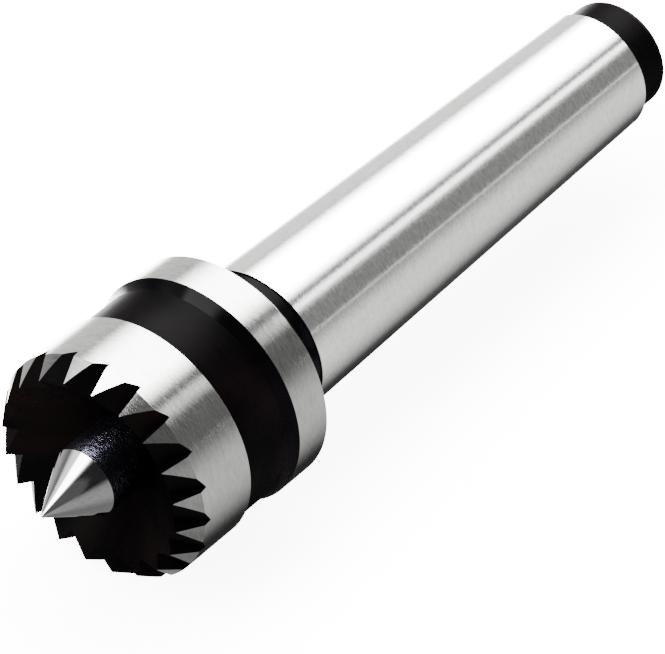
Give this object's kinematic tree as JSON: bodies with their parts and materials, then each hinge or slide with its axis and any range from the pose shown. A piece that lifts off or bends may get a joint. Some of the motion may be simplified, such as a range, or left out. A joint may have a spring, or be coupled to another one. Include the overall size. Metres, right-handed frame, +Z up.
{
  "type": "live center",
  "caption": "Revolving lathe centre with a toothed crown head, a spring-loaded point, inner bearings and a Morse taper shank.",
  "frame": {"origin": "on the turning axis, at the gauge plane of the Morse taper, which is the front end of the ground shank", "axes": "+X along the turning axis from the point towards the tail, +Z up, +Y completes the right-handed frame"},
  "size_m": [0.1009, 0.0272, 0.027],
  "materials": {
    "ground_steel": "ground, satin-bright",
    "hardened_point_steel": "ground, satin-bright",
    "bearing_steel": "polished",
    "pressed_cage_steel": "pressed sheet",
    "spring_steel": "drawn wire, oiled",
    "blued_screw_steel": "black oxide",
    "seal_felt": "oiled felt"
  },
  "bodies": {
    "housing": {"shank_body": "ground_steel", "front_bearing_outer_ring": "bearing_steel", "front_bearing_shields": "pressed_cage_steel", "thrust_housing_washer": "bearing_steel", "rear_needle_cup": "bearing_steel", "bearing_snap_ring": "spring_steel"},
    "head": {"crown": "ground_steel", "spindle": "bearing_steel", "point_screw": "blued_screw_steel", "point_spring": "spring_steel", "front_bearing_inner_ring": "bearing_steel", "shim_washer": "bearing_steel", "thrust_shaft_washer": "bearing_steel", "spindle_circlip": "spring_steel", "dust_seal": "seal_felt"},
    "point": {"center_point": "hardened_point_steel"},
    "radial_ball_train": {"front_bearing_balls": "bearing_steel", "front_bearing_cage": "pressed_cage_steel"},
    "thrust_ball_train": {"thrust_balls": "bearing_steel", "thrust_cage": "pressed_cage_steel"},
    "needle_train": {"rear_needles": "bearing_steel", "rear_needle_cage": "pressed_cage_steel"}
  },
  "joints": [
    {"name": "head_spin", "type": "hinge", "parent": "housing", "child": "head", "pos_m": [0, 0, 0], "axis": [1, 0, 0], "continuous": true},
    {"name": "point_slide", "type": "slide", "parent": "head", "child": "point", "axis": [1, 0, 0], "range_m": [0, 0.0045], "stiffness_N_per_m": 3000, "springref_m": -0.005, "deforming": ["point_spring"]},
    {"name": "radial_cage_spin", "type": "hinge", "parent": "housing", "child": "radial_ball_train", "pos_m": [0, 0, 0], "axis": [1, 0, 0], "continuous": true},
    {"name": "thrust_cage_spin", "type": "hinge", "parent": "housing", "child": "thrust_ball_train", "pos_m": [0, 0, 0], "axis": [1, 0, 0], "continuous": true},
    {"name": "needle_cage_spin", "type": "hinge", "parent": "housing", "child": "needle_train", "pos_m": [0, 0, 0], "axis": [1, 0, 0], "continuous": true}
  ],
  "couplings": [
    {"joint": "radial_cage_spin", "follows": "head_spin", "ratio": 0.42785},
    {"joint": "thrust_cage_spin", "follows": "head_spin", "ratio": 0.5},
    {"joint": "needle_cage_spin", "follows": "head_spin", "ratio": 0.43501}
  ]
}
